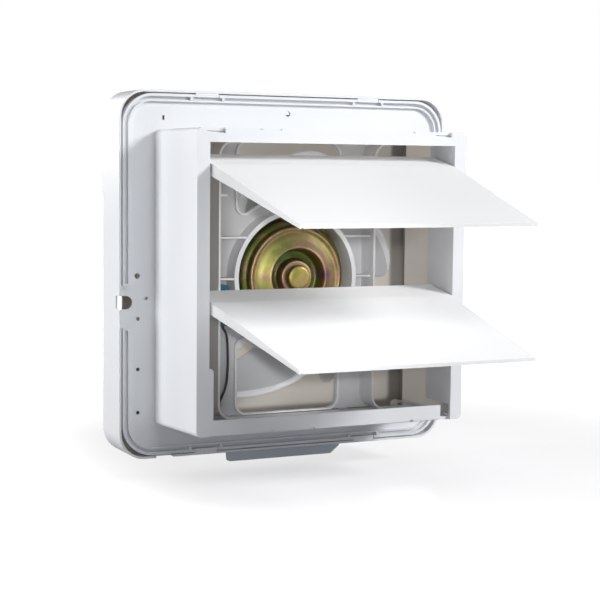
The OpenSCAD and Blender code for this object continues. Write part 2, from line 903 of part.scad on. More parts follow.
module impeller_nut() color(white) {
    difference() {
        union() {
            rod(0, cup_front - nut_h, fan_z, nut_h, nut_dome_r);
            translate([0, cup_front, fan_z]) rotate([90, 0, 0])
                cylinder(h = nut_h * 2 / 3, r = nut_r, $fn = 6);
        }
        rod(0, cup_front - nut_h / 2, fan_z, nut_h, shaft_r);
    }
}

module capacitor() color(teal) {
    x = band_half - band_wall / 2 - seat_gap - cap_box[0];
    translate([x + cap_box[0] / 2, 0, cap_box_top - cap_box[2] / 2]) slab(floor_t, cap_box[1])
        difference() {
            square([cap_box[0], cap_box[2]], center = true);
            for (s = [-1, 1], h = [-1, 1])
                translate([s * cap_box[0] / 2, h * cap_box[2] / 2])
                    rotate(45) square(cap_box_r, center = true);
        }
}

// Route of the motor lead: off the capacitor, through the floor and to the terminals
lead_points = [[61, 5.2, -42], [59.6, 4.8, -45.5], [56.8, 4.2, -50], [55.6, 3.8, -57],
    [55.2, 3.6, -64], [55, 3.6, -72], [55.2, 3.6, -81], [56, 3.6, -90], [57.8, 3.6, -97],
    [59.8, 3.6, -101.2], [61.6, 3.8, -104.6], [62.4, 2.6, -107.4], [62.5, 0, -108.8],
    [62.6, -2.4, -110.4], [63.6, -4, -113.6], [66.6, -4, -118.6], [71, -4, -122.4],
    [78, -4, -124.8], [88, -4, -125.6], [98, -4, -125.6], [107, -4, -124.8], [114, -4, -122.6],
    [119, -4, -118.6], [121.6, -4, -112.6], [122.6, -4, -106.6], [123.4, -4, -102.2],
    [125.5, -4, -99]];
lead_sides = 8;

function unit(v) = v / norm(v);
function heading(i) = let (last = len(lead_points) - 1)
    i == 0 ? [0, 0, -1]
    : i == last ? [1, 0, 0]
    : unit(lead_points[i + 1] - lead_points[i - 1]);
function lead_ring(i) = let (d = heading(i), side = unit(cross(d, [0, 1, 0])),
    up = cross(side, d))
    [for (k = [0:lead_sides - 1]) let (a = 360 / lead_sides * (k + 0.5))
        lead_points[i] + lead_d / 2 * (cos(a) * side + sin(a) * up)];

module motor_lead() color(black) {
    last = len(lead_points) - 1;
    polyhedron(
        points = [for (i = [0:last]) each lead_ring(i)],
        faces = concat(
            [[for (k = [0:lead_sides - 1]) k]],
            [for (i = [0:last - 1], k = [0:lead_sides - 1])
                let (n = (k + 1) % lead_sides, a = i * lead_sides, b = a + lead_sides)
                [a + k, b + k, b + n]],
            [for (i = [0:last - 1], k = [0:lead_sides - 1])
                let (n = (k + 1) % lead_sides, a = i * lead_sides, b = a + lead_sides)
                [a + k, b + n, a + n]],
            [[for (k = [lead_sides - 1:-1:0]) last * lead_sides + k]]));
}

module terminal_block() color(slate) {
    x = peg_x - block_size[0] / 2;
    difference() {
        union() {
            block([x, -plate_t - block_base_t, block_low],
                [x + block_size[0], -plate_t, block_low + block_size[2]]);
            for (i = [0:2]) {
                z = block_low + barrel_gap + i * (barrel_w + barrel_gap);
                block([x + cut, -plate_t - block_size[1], z],
                    [x + block_size[0] - cut, -plate_t - block_base_t / 2, z + barrel_w]);
            }
            for (i = [1, 2])
                rod(peg_x, -plate_t - block_base_t / 2, peg_zs[i],
                    plate_t / 2 + block_base_t / 2, peg_hole_d / 2 - peg_fit);
        }
        for (i = [0:2])
            rod(peg_x, -plate_t - block_size[1] - cut,
                block_low + barrel_gap + barrel_w / 2 + i * (barrel_w + barrel_gap),
                block_size[1] / 2, barrel_screw_d / 2);
    }
}

// Side walls, front lip and corner webs of the cover
module front_cover() color(white) {
    slot_out = panel_half - lip_w;
    difference() {
        union() {
            slab(front_y, cover_d) edge_band(panel_half, cover_r, cover_wall);
            slab(front_y, cover_wall) edge_band(panel_half, cover_r, lip_w);
            for (s = [-1, 1], h = [-1, 1]) corner_web(s, h);
            for (s = [-1, 1], h = [-1, 1]) cover_hook(s, h);
        }
        for (s = [-1, 1], h = [-1, 1])
            rod(s * (post_at), front_y, h * (post_at),
                cover_d, panel_pin_r + 2 * run_gap);
        block([pry_x_low, rib_h - pry_depth, -panel_half - cut],
            [pry_x_high, rib_h + cut, -cover_in + flange_gap]);
        block([cover_in - cut, rib_h - cable_notch_depth, cable_notch_z - cable_notch_h / 2],
            [panel_half + cut, rib_h + cut, cable_notch_z + cable_notch_h / 2]);
        block([-drain_w / 2, cup_back_y - cup_len / 2 - drain_l / 2, -panel_half - cut],
            [drain_w / 2, cup_back_y - cup_len / 2 + drain_l / 2, -cover_in + cut]);
        for (s = [-1, 1])
            block([s * tongue_x - tongue_w / 2 - seat_gap, cup_back_y - tongue_t - seat_gap,
                -panel_half - cut],
                [s * tongue_x + tongue_w / 2 + seat_gap, cup_back_y + seat_gap, -cover_in + cut]);
    }
}

// Web across a corner of the cover, just behind the slot, with the panel's socket
module corner_web(s, h) {
    far = panel_half - cover_wall / 2;
    near = post_at;
    y = front_y + panel_rim_h + cover_wall;
    slab(y, corner_web_t) intersection() {
        round_square(far, cover_r - cover_wall / 2);
        polygon([
            [s * far, h * (far - web_span)], [s * far, h * far], [s * (far - web_span), h * far],
            [s * (near - post_r / 2), h * (near + post_r)],
            [s * (near - post_r / 2), h * (near - post_r / 2)],
            [s * (near + post_r), h * (near - post_r / 2)]]);
    }
    rod(s * near, y, h * near, panel_pin_l, post_r);
}

module cover_hook(s, h) {
    x = s * hook_x_share * panel_half;
    low = min(h * (cover_in + cover_wall / 2), h * (cover_in + cover_wall / 2 - hook_t));
    block([x - hook_w / 2, rib_h - hook_l, low],
        [x + hook_w / 2, rib_h - seat_gap, low + hook_t]);
}

module front_panel() color(white) {
    half = panel_half - lip_w - slot_w;
    slab(front_y, cover_wall) round_square(half, panel_r);
    slab(front_y, panel_rim_h) edge_band(half, panel_r, panel_rim_w);
    for (s = [-1, 1], h = [-1, 1]) {
        x = s * (post_at);
        z = h * (post_at);
        rod(x, front_y + cover_wall / 2, z, panel_rim_h + cover_wall / 2, post_r);
        rod(x, front_y + cover_wall / 2, z, panel_rim_h + panel_pin_l - cut, panel_pin_r);
    }
}

// Outline of the oil cup seen along Y, grown inwards by g; one end stands steeper
module oil_outline(g) {
    top = -panel_half;
    foot = top - oil_h + g;
    half = cup_half - g;
    near = cup_half - cup_near_lean - g;
    far = cup_foot_half - g;
    hull() {
        translate([-half, top - cup_round]) square([2 * half, cup_round]);
        translate([near - cup_round, foot + cup_round]) circle(r = cup_round);
        translate([cup_round - far, foot + cup_round]) circle(r = cup_round);
    }
}

// The cup's plan: its ends draw in towards the front, each inset by g
module oil_plan(g) {
    back = cup_back_y - g;
    front = cup_back_y - cup_len + g;
    half = cup_half - g;
    translate([0, 0, -panel_half - 2 * oil_h]) linear_extrude(3 * oil_h)
        polygon([[-half, back], [half, back], [half - cup_narrow, front],
            [cup_narrow - half, front]]);
}

module oil_cup() color(slate) {
    difference() {
        intersection() {
            slab(cup_back_y - cup_len, cup_len) oil_outline(0);
            oil_plan(0);
        }
        intersection() {
            slab(cup_back_y - cup_len, cup_len) union() {
                oil_outline(cup_skin);
                translate([cup_skin - cup_half, -panel_half - cup_round])
                    square([2 * (cup_half - cup_skin), cup_round + cut]);
            }
            oil_plan(cup_skin);
        }
    }
    for (s = [-1, 1])
        block([s * tongue_x - tongue_w / 2, cup_back_y - tongue_t, -panel_half - cut],
            [s * tongue_x + tongue_w / 2, cup_back_y, tongue_h - panel_half]);
}

housing();
shutter_frame();
upper_flap();
lower_flap();
link_bar();
motor_bracket();
bracket_screws();
motor_rear_shell();
motor_front_shell();
motor_screws();
stator_core();
stator_coils();
rotor_core();
motor_shaft();
rear_bearing();
front_bearing();
bearing_cap();
thrust_washers();
impeller();
impeller_nut();
capacitor();
motor_lead();
terminal_block();
front_cover();
front_panel();
oil_cup();
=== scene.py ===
"""Wall exhaust fan: the dressed model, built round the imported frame."""
import math

import bmesh
import bpy
import numpy as np
from bpy.props import FloatProperty, FloatVectorProperty, IntProperty, PointerProperty
from bpy.types import Operator, Panel, PropertyGroup
from mathutils import Matrix, Vector


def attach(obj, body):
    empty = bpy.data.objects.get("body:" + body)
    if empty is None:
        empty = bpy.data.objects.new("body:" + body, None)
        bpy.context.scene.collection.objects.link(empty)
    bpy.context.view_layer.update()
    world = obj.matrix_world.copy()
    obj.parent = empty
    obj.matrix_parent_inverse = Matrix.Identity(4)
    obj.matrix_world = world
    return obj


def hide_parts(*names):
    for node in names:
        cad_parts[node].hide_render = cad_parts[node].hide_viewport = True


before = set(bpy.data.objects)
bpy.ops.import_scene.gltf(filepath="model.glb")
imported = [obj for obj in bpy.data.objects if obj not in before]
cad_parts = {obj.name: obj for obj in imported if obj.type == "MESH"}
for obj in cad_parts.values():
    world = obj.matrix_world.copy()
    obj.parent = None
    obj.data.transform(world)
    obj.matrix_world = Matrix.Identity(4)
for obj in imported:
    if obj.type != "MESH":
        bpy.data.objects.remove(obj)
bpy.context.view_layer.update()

bl_info = {
    "name": "Wall Exhaust Fan",
    "version": (1, 0, 0),
    "blender": (4, 5, 0),
    "location": "View3D > Sidebar > Exhaust Fan",
    "description": "Builds the looks of a wall exhaust fan round its packed frame",
    "category": "Object",
}

MM = 0.001
AXIS_Z = -2.6  # height of the fan's axis above the duct's, in mm

# What every moulding shares: its index of refraction, and its fine grain's scale and depth
PLASTIC_IOR = 1.46
GRAIN_SCALE = 2600.0
GRAIN_DEPTH = 0.00004

# The duct's outline as a half width and a corner radius, in metres
DUCT_HALF = 0.118
DUCT_CORNER = 0.003

# Half widths between which the flange's small holes start and end, in metres
HOLES_START = (0.1192, 0.1198)
HOLES_END = (0.1412, 0.1418)

# Lengths in metres over which a well's tint fades at its sides, its front and its rear
SIDE_FADE = 0.0006
FRONT_FADE = 0.0003
REAR_FADE = 0.008

# Distances at which a mesh's doubled points and its slivers are merged, in metres
DOUBLES = 0.000004
FINE_DOUBLES = 0.000002
SLIVERS = 0.000001

# Degrees: an edge of a CAD node that turns by more than the first is rounded, and faces that
# turn by less than the second are joined
SHARP = 32.0
FLAT = 0.6


# Shader maths
class Wire:
    """A shader socket that can be used in sums: each operator adds one Math node."""

    def __init__(self, finish, socket):
        self.finish = finish
        self.socket = socket

    def _math(self, operation, *values):
        return self.finish.node("ShaderNodeMath", {"operation": operation}, *values)

    def __add__(self, other):
        return self._math("ADD", self, other)

    def __radd__(self, other):
        return self._math("ADD", other, self)

    def __sub__(self, other):
        return self._math("SUBTRACT", self, other)

    def __rsub__(self, other):
        return self._math("SUBTRACT", other, self)

    def __mul__(self, other):
        return self._math("MULTIPLY", self, other)

    def __rmul__(self, other):
        return self._math("MULTIPLY", other, self)

    def __truediv__(self, other):
        return self._math("DIVIDE", self, other)

    def __pow__(self, other):
        return self._math("POWER", self, other)

    def sine(self):
        return self._math("SINE", self)

    def held(self):
        """The value kept between 0 and 1."""
        return self._math("MINIMUM", self._math("MAXIMUM", self, 0.0), 1.0)

    def step(self, low, high):
        """0 below low, 1 above high and a smooth rise between them."""
        return self.finish.node(
            "ShaderNodeMapRange", {"interpolation_type": "SMOOTHSTEP"}, self, low, high, 0.0, 1.0)


class Finish:
    """One material with a Principled shader and a short way to add nodes to it."""

    def __init__(self, name, **fixed):
        self.material = bpy.data.materials.new(name)
        self.material.use_nodes = True
        self.tree = self.material.node_tree
        self.tree.nodes.clear()
        self.shader = self.tree.nodes.new("ShaderNodeBsdfPrincipled")
        self.output = self.tree.nodes.new("ShaderNodeOutputMaterial")
        self.tree.links.new(self.shader.outputs[0], self.output.inputs["Surface"])
        for socket, value in fixed.items():
            self.shader.inputs[socket.replace("_", " ")].default_value = value

    def node(self, kind, settings, *inputs, output=0, **named):
        """Adds a node of a kind, sets its settings, then fills its sockets in order or by name."""
        made = self.tree.nodes.new(kind)
        for key, value in settings.items():
            if key == "stops":
                self._stops(made.color_ramp, value)
            else:
                setattr(made, key, value)
        for index, value in enumerate(inputs):
            self._fill(made.inputs[index], value)
        for key, value in named.items():
            self._fill(made.inputs[key.replace("_", " ")], value)
        return Wire(self, made.outputs[output])

    def _stops(self, ramp, stops):
        """Gives a colour ramp its stops."""
        while len(ramp.elements) < len(stops):
            ramp.elements.new(1.0)
        for element, (place, colour) in zip(ramp.elements, stops):
            element.position = place
            element.color = (*colour, 1.0)

    def _fill(self, socket, value):
        """Links a wire to a socket, or sets the socket's own value."""
        if isinstance(value, Wire):
            self.tree.links.new(value.socket, socket)
        else:
            socket.default_value = (*value, 1.0) if socket.type == "RGBA" else value

    def place(self):
        """Object coordinates, in metres."""
        return self.node("ShaderNodeTexCoord", {}, output=3)

    def facing(self):
        """The three numbers of the surface's normal."""
        return self.parts(self.node("ShaderNodeTexCoord", {}, output=1))

    def parts(self, vector):
        """The three numbers of a vector."""
        made = self.tree.nodes.new("ShaderNodeSeparateXYZ")
        self.tree.links.new(vector.socket, made.inputs[0])
        return [Wire(self, made.outputs[i]) for i in range(3)]

    def about_axis(self):
        """Radius from the fan's axis, share of the way to -X (steady at the axis), and Y."""
        x, y, z = self.parts(self.place())
        high = z - AXIS_Z * MM
        radius = (x * x + high * high) ** 0.5
        return radius, 0.5 - 0.5 * x / (radius + 0.002), y

    def across(self, x, z, half, corner):
        """Half width of the square with rounded corners that passes through x and z."""
        flat = half - corner
        x, z = (self.node("ShaderNodeMath", {"operation": "ABSOLUTE"}, v) for v in (x, z))
        x, z = (self.node("ShaderNodeMath", {"operation": "MAXIMUM"}, v - flat, 0.0)
                for v in (x, z))
        return (x * x + z * z) ** 0.5 + flat

    def noise(self, vector, scale, detail=2.0, rough=0.5):
        """Clouds between 0 and 1; a larger scale makes them smaller."""
        return self.node("ShaderNodeTexNoise", {}, vector, Scale=scale, Detail=detail,
                         Roughness=rough)

    def tint(self, factor, first, second):
        """A colour between two, by factor."""
        made = self.tree.nodes.new("ShaderNodeMix")
        made.data_type = "RGBA"
        for key, value in (("Factor_Float", factor), ("A_Color", first), ("B_Color", second)):
            self._fill(next(s for s in made.inputs if s.identifier == key), value)
        return Wire(self, next(s for s in made.outputs if s.identifier == "Result_Color"))

    def mixed(self, factor, first, second):
        """Two shaders mixed by a factor."""
        return self.node("ShaderNodeMixShader", {}, factor, first, second)

    def ramp(self, value, stops):
        """The colour that a value has among stops of place and colour."""
        return self.node("ShaderNodeValToRGB", {"stops": stops}, value)

    def bump(self, height, strength, distance):
        """Feeds a height, through a Bump node, to the shader's Normal."""
        normal = self.node("ShaderNodeBump", {}, Strength=strength, Distance=distance,
                           Height=height)
        self.set("Normal", normal)

    def grain(self, strength):
        """The fine grain of a mould's surface."""
        self.bump(self.noise(self.place(), GRAIN_SCALE), strength, GRAIN_DEPTH)

    def set(self, socket, value):
        """Gives one of the shader's sockets a value or a link."""
        self._fill(self.shader.inputs[socket], value)


def darker(colour, share):
    """A colour with each of its three numbers at a share of what it was."""
    return tuple(c * share for c in colour)


def moulded(name, colour, rough=0.42, grain=0.25, **lining):
    """Injection moulded plastic: faint flow tint, uneven gloss and a fine grain. A lining, as
    lined takes it, paints warm light and shade on the faces inside a square well."""
    made = Finish(name, IOR=PLASTIC_IOR)
    place = made.place()
    flow = made.noise(place, 9.0, 3.0, 0.55)
    base = made.tint(flow.step(0.32, 0.70), darker(colour, 0.975), colour)
    if lining:
        base = lined(made, base, **lining)
    made.set("Base Color", base)
    cloud = made.noise(place, 55.0)
    made.set("Roughness", (cloud - 0.5) * 0.10 + rough)
    fine = made.noise(place, GRAIN_SCALE)
    made.bump(fine * 0.8 + cloud * 0.2, grain, GRAIN_DEPTH)
    return made.material


def lined(made, base, inside, half, corner, y_low, y_high, glow=0.0, dark_floor=False,
          holes=0.0):
    """The base colour with a warmer one painted on the faces inside a square well, which is given
    by its half width, its corner and its lowest and highest Y: painted warm light, the tone of the
    light that comes through the thin front and bounces inside. The glow is emission that paints
    that light on the same faces within the duct. The well's floor can be painted darker out past
    the duct, as a painted shadow, and holes is how far the walls of small holes are painted darker
    than the face round them, as painted shade."""
    x, y, z = made.parts(made.place())
    # Painted warm light: the mask of faces inside the well, which take the warm tone of the light
    # that comes through the thin front and bounces inside
    sides = (1.0 - (made.across(x, z, half, corner) - half) / SIDE_FADE).held()
    front = ((y - y_low) / FRONT_FADE).held()
    rear = ((y - (y_high - REAR_FADE)) / REAR_FADE).held()
    within = sides * (1.0 - rear) * front
    base = made.tint(within, base, inside)
    beyond = made.across(x, z, DUCT_HALF, DUCT_CORNER)
    # Painted shadow: the well's floor out past the duct is painted dark
    if dark_floor:
        past = within * beyond.step(DUCT_HALF, DUCT_HALF + 0.005)
        base = made.tint(past * 0.6, base, (0.10, 0.09, 0.08))
    # Painted shade: the walls of the flange's small holes are painted nearly black
    if holes:
        upright = made.facing()[1]
        wall = (1.0 - (upright * upright).step(0.1, 0.4)) * (0.0 - y).step(0.0001, 0.0004)
        band = beyond.step(*HOLES_START) * (1.0 - beyond.step(*HOLES_END))
        base = made.tint(wall * band * holes, base, (0.10, 0.105, 0.11))
    # Painted light: emission on the faces inside the well, short of the duct's outline, for the
    # light that comes through the thin front
    if glow:
        lit = within * (1.0 - beyond.step(DUCT_HALF - 0.001, DUCT_HALF + 0.004))
        made.set("Emission Color", made.tint(lit, (0.0, 0.0, 0.0), inside))
        made.set("Emission Strength", glow)
    return base


# Radius in metres that the plating's hues cover
PLATING_REACH = 0.060

# Those hues by share of that radius: on the side towards +X, then towards -X. The narrow dark
# stops between paler ones are painted shade in the pressing's grooves and gaps, darkest in the
# rim groove on the +X side; the other stops are the plating's own hues.
PLATING_NEAR = [
    (0.000, (0.62, 0.52, 0.14)), (0.150, (0.58, 0.47, 0.12)), (0.172, (0.16, 0.12, 0.04)),
    (0.198, (0.74, 0.40, 0.30)), (0.232, (0.70, 0.38, 0.28)), (0.250, (0.16, 0.12, 0.02)),
    (0.300, (0.07, 0.13, 0.02)), (0.360, (0.04, 0.13, 0.08)), (0.386, (0.30, 0.22, 0.06)),
    (0.406, (0.80, 0.46, 0.28)), (0.440, (0.58, 0.54, 0.16)), (0.550, (0.50, 0.50, 0.14)),
    (0.600, (0.26, 0.21, 0.06)), (0.640, (0.78, 0.50, 0.30)), (0.685, (0.80, 0.60, 0.30)),
    (0.702, (0.20, 0.16, 0.05)), (0.740, (0.22, 0.24, 0.05)), (0.790, (0.15, 0.20, 0.03)),
    (0.860, (0.50, 0.44, 0.16))]
PLATING_FAR = [
    (0.000, (0.60, 0.50, 0.14)), (0.150, (0.56, 0.45, 0.12)), (0.172, (0.16, 0.12, 0.04)),
    (0.198, (0.70, 0.40, 0.28)), (0.232, (0.62, 0.40, 0.22)), (0.250, (0.14, 0.16, 0.03)),
    (0.300, (0.11, 0.17, 0.03)), (0.360, (0.20, 0.26, 0.04)), (0.386, (0.40, 0.30, 0.10)),
    (0.406, (0.72, 0.40, 0.18)), (0.440, (0.50, 0.34, 0.26)), (0.550, (0.60, 0.44, 0.24)),
    (0.600, (0.52, 0.40, 0.16)), (0.640, (0.58, 0.44, 0.18)), (0.685, (0.72, 0.52, 0.24)),
    (0.702, (0.34, 0.30, 0.08)), (0.740, (0.34, 0.30, 0.08)), (0.790, (0.24, 0.22, 0.05)),
    (0.860, (0.50, 0.44, 0.16))]

# Patches of green and of rose: noise scale, where a patch starts, its share and its colour
PLATING_PATCHES = [(52.0, 0.46, 0.42, (0.14, 0.25, 0.06)), (74.0, 0.48, 0.50, (0.52, 0.25, 0.24))]

# A violet bloom beside the hub: its X, Z and radius in metres
BLOOM = (-0.0255, -0.001, 0.0075)


def zinc(name, dull):
    """Yellow zinc plating: hues that follow the pressing's rings, drift round it, and turn
    green, pink and violet in patches. The narrow dark rings among the hues are painted shade
    in the pressing's grooves and gaps."""
    made = Finish(name, Metallic=1.0)
    place = made.place()
    radius, far, _ = made.about_axis()
    drift = made.noise(place, 30.0, 3.0, 0.6)
    ring = (radius + (drift - 0.5) * 0.0014) / PLATING_REACH
    side = (far + (drift - 0.5) * 0.5).step(0.25, 0.72)
    base = made.tint(side, made.ramp(ring, PLATING_NEAR), made.ramp(ring, PLATING_FAR))
    for scale, start, share, hue in PLATING_PATCHES:
        patch = made.noise(place, scale, 4.0, 0.65).step(start, 0.62)
        base = made.tint(patch * share, base, hue)
    base = made.tint(0.24, base, (0.13, 0.11, 0.08))
    x, _, z = made.parts(place)
    away = ((x - BLOOM[0]) ** 2.0 + (z - BLOOM[1]) ** 2.0) ** 0.5
    violet = (1.0 - away / BLOOM[2]).held()
    base = made.tint(violet * 0.75, base, (0.20, 0.08, 0.22))
    made.set("Base Color", base)
    streak = made.noise(place, 420.0, 3.0)
    made.set("Roughness", streak * 0.16 + dull)
    made.bump(streak, 0.12, 0.0001)
    return made.material


def flap_finish(name, colour):
    """A matt flap whose narrow side faces are painted darker than its broad ones: painted shade.
    """
    made = Finish(name, IOR=PLASTIC_IOR, Roughness=0.6)
    aside = made.facing()[0]
    cloud = made.noise(made.place(), 14.0, 3.0)
    base = made.tint(cloud * 0.3, colour, darker(colour, 0.96))
    # Painted shade: faces that look along X, the flap's narrow sides, are painted darker
    made.set("Base Color", made.tint((aside * aside).step(0.5, 0.8), base, darker(colour, 0.72)))
    made.grain(0.15)
    return made.material


def bladed(name, colour, count):
    """The impeller's moulding. Each blade's rear edge lies at an angle that the radius gives;
    a band that follows it, where the blade curls, is a painted highlight: paler in colour and
    glowing a little.
    The ramp that holds the angles holds them as shares of a range of degrees."""
    made = Finish(name, IOR=PLASTIC_IOR, Roughness=0.36)
    place = made.place()
    x, _, z = made.parts(place)
    high = z - AXIS_Z * MM
    radius = (x * x + high * high) ** 0.5
    turn = made.node("ShaderNodeMath", {"operation": "ARCTAN2"}, high, x) * (180.0 / math.pi)
    first, reach = 220.0, 80.0
    stops = [(way, ((angle - first) / reach,) * 3) for way, angle in BLADE_REAR]
    share = (radius - ROOT_R * MM) / ((TIP_R - ROOT_R) * MM)
    edge = made.parts(made.ramp(share, stops))[0] * reach + first
    past = made.node("ShaderNodeMath", {"operation": "WRAP"}, turn - edge, 360.0 / count, 0.0)
    # Painted highlight: a band just past each blade's rear edge, which is painted near white and
    # glows faintly
    band = (1.0 - past.step(*BLADE_HIGHLIGHT)) * share.step(0.0, 0.06)
    cloud = made.noise(place, 40.0)
    base = made.tint(cloud * 0.3, colour, darker(colour, 0.95))
    made.set("Base Color", made.tint(band, base, (0.985, 0.985, 0.99)))
    made.set("Emission Color", made.tint(band, (0.0, 0.0, 0.0), (0.93, 0.95, 1.0)))
    made.set("Emission Strength", 0.13)
    made.grain(0.15)
    return made.material


def ribbed(name, colour):
    """The bracket's moulding: the rear faces of rib and rim edges are painted paler than its
    floor, as a painted highlight, and the floor is painted darker towards the capacitor's side, as
    painted shade from the duct wall and the post beside it."""
    made = Finish(name, IOR=PLASTIC_IOR, Roughness=0.42)
    place = made.place()
    x, y, _ = made.parts(place)
    # Painted highlight: faces that look to the rear and stand proud of the floor, the edges of
    # ribs and rims
    edge = made.facing()[1].step(0.75, 0.95) * y.step(0.0028, 0.0040)
    # Painted shade: the floor towards +X, beside the duct wall and the post
    side = x.step(0.046, 0.062) * (1.0 - edge)
    cloud = made.noise(place, 60.0)
    base = made.tint(cloud * 0.3, colour, darker(colour, 0.94))
    base = made.tint(side * 0.6, base, darker(colour, 0.6))
    made.set("Base Color", made.tint(edge, base, (0.97, 0.97, 0.975)))
    made.grain(0.2)
    return made.material


def bare_steel(name, colour, rough=0.3):
    """Bright steel with fine turning marks."""
    made = Finish(name, Metallic=1.0)
    place = made.place()
    streak = made.noise(place, 900.0, 3.0)
    dull = made.noise(place, 60.0)
    made.set("Base Color", made.tint(dull, darker(colour, 0.86), colour))
    made.set("Roughness", streak * 0.18 + (rough - 0.09))
    made.bump(streak, 0.15, 0.00008)
    return made.material


def winding(name, colour):
    """Enamelled wire laid round the axis in fine turns: a sine of radius and some of Y."""
    made = Finish(name, Coat_Weight=0.5, Coat_Roughness=0.2)
    radius, _, y = made.about_axis()
    per_metre = 9000.0
    turn = ((radius + y * 0.6) * per_metre).sine() * 0.5 + 0.5
    made.set("Base Color", made.tint(turn, darker(colour, 0.45), colour))
    made.set("Roughness", turn * 0.2 + 0.3)
    made.set("Metallic", turn * 0.4 + 0.3)
    made.bump(turn, 0.6, 0.0003)
    return made.material


def laminated(name, colour):
    """Stacked sheets seen on edge: fine dark lines across the axis, one for each sheet."""
    made = Finish(name, Metallic=1.0)
    y = made.about_axis()[2]
    sheet = 0.0005
    line = ((y * (2.0 * math.pi / sheet)).sine() * 0.5 + 0.5) ** 3.0
    made.set("Base Color", made.tint(line, colour, darker(colour, 0.35)))
    made.set("Roughness", line * 0.3 + 0.4)
    made.bump(1.0 - line, 0.4, 0.0001)
    return made.material


def finish(name):
    """A finish that the first step has made."""
    return bpy.data.materials[name]


def dress(names, material):
    """Gives carried-over CAD nodes their material."""
    for name in names:
        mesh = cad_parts[name].data
        mesh.materials.clear()
        mesh.materials.append(material)


# Surfaces worked out as whole arrays
def shade_smooth(mesh, angle):
    """Smooth shading that still breaks at edges sharper than the angle."""
    mesh.shade_smooth()
    mesh.set_sharp_from_angle(angle=math.radians(angle))


def settled(piece, body, replaced):
    """Puts a finished piece on its body, in the place of the nodes that it stands for."""
    bpy.context.scene.collection.objects.link(piece)
    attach(piece, body)
    if replaced:
        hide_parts(*replaced)
    return piece


def softened(name, node, body, material, width, join=True):
    """A merged copy of a CAD node with small rounded edges, which replaces it; flat faces
    are joined first, or kept as triangles where one of them has a slit outline."""
    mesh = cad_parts[node].data.copy()
    mesh.name = name
    bm = bmesh.new()
    bm.from_mesh(mesh)
    bmesh.ops.remove_doubles(bm, verts=bm.verts, dist=DOUBLES)
    bmesh.ops.dissolve_degenerate(bm, edges=bm.edges, dist=DOUBLES)
    if join:
        bmesh.ops.dissolve_limit(bm, angle_limit=math.radians(FLAT), verts=bm.verts,
                                 edges=bm.edges)
    bm.to_mesh(mesh)
    bm.free()
    mesh.materials.clear()
    mesh.materials.append(material)
    piece = bpy.data.objects.new(name, mesh)
    bevel = piece.modifiers.new("edges", "BEVEL")
    bevel.width = width
    bevel.segments = 2
    bevel.limit_method = "ANGLE"
    bevel.angle_limit = math.radians(SHARP)
    bevel.use_clamp_overlap = True
    bevel.harden_normals = join
    shade_smooth(mesh, SHARP)
    if not join:
        weighted = piece.modifiers.new("flat faces", "WEIGHTED_NORMAL")
        weighted.weight = 100
        weighted.keep_sharp = True
    return settled(piece, body, [node])


def quads(rows, columns, ring_rows=False, ring_columns=False):
    """Faces of a grid of points; a ring joins its last row or column to the first."""
    i = np.arange(rows if ring_rows else rows - 1)[:, None]
    j = np.arange(columns if ring_columns else columns - 1)[None, :]
    i_next, j_next = (i + 1) % rows, (j + 1) % columns
    corners = [i * columns + j, i * columns + j_next, i_next * columns + j_next,
               i_next * columns + j]
    return np.stack([np.broadcast_to(c, (i.shape[0], j.shape[1])) for c in corners],
                    -1).reshape(-1, 4)


def piece_from(name, parts, material, body, replaced=(), angle=34.0):
    """One piece from several closed surfaces, each given as points in mm and its faces, with
    edges that stay sharp where they turn by more than the angle."""
    points, faces, start = [], [], 0
    for grid, corners in parts:
        grid = np.asarray(grid, float).reshape(-1, 3)
        points.append(grid * MM)
        faces.extend([corner + start for corner in face] for face in corners)
        start += len(grid)
    mesh = bpy.data.meshes.new(name)
    mesh.from_pydata(np.concatenate(points).tolist(), [], faces)
    bm = bmesh.new()
    bm.from_mesh(mesh)
    bmesh.ops.remove_doubles(bm, verts=bm.verts, dist=FINE_DOUBLES)
    bmesh.ops.dissolve_degenerate(bm, edges=bm.edges, dist=SLIVERS)
    bmesh.ops.recalc_face_normals(bm, faces=bm.faces)
    bm.to_mesh(mesh)
    bm.free()
    mesh.materials.append(material)
    shade_smooth(mesh, angle)
    return settled(bpy.data.objects.new(name, mesh), body, replaced)


def eased(corners, cut, steps=5):
    """Each corner of a closed outline turned into a short parabola that starts and ends
    the cut distance away from it, or just under half a side where the side is short."""
    corners = np.asarray(corners, float)
    before, after = np.roll(corners, 1, 0), np.roll(corners, -1, 0)
    back, ahead = before - corners, after - corners
    back_size = np.maximum(np.linalg.norm(back, axis=1), 1e-9)[:, None]
    ahead_size = np.maximum(np.linalg.norm(ahead, axis=1), 1e-9)[:, None]
    most = 0.48
    first = corners + back / back_size * np.minimum(cut, back_size * most)
    last = corners + ahead / ahead_size * np.minimum(cut, ahead_size * most)
    t = np.linspace(0, 1, steps)[None, :, None]
    curve = ((1 - t) ** 2 * first[:, None] + 2 * t * (1 - t) * corners[:, None]
             + t ** 2 * last[:, None])
    return curve.reshape(-1, 2)


def turned(profile, turns=144, ring=True, centre=(0, AXIS_Z)):
    """A profile of radius and Y carried round an axis along Y, as radius times the cosine and
    sine of even angles. A ring is a profile that ends where it starts."""
    profile = np.asarray(profile, float)
    angle = np.linspace(0, 2 * np.pi, turns, endpoint=False)[None, :]
    radius, along = profile[:, :1], profile[:, 1:]
    grid = np.stack([centre[0] + radius * np.cos(angle), along + 0 * angle,
                     centre[1] + radius * np.sin(angle)], -1)
    return grid, quads(len(profile), turns, ring, True)


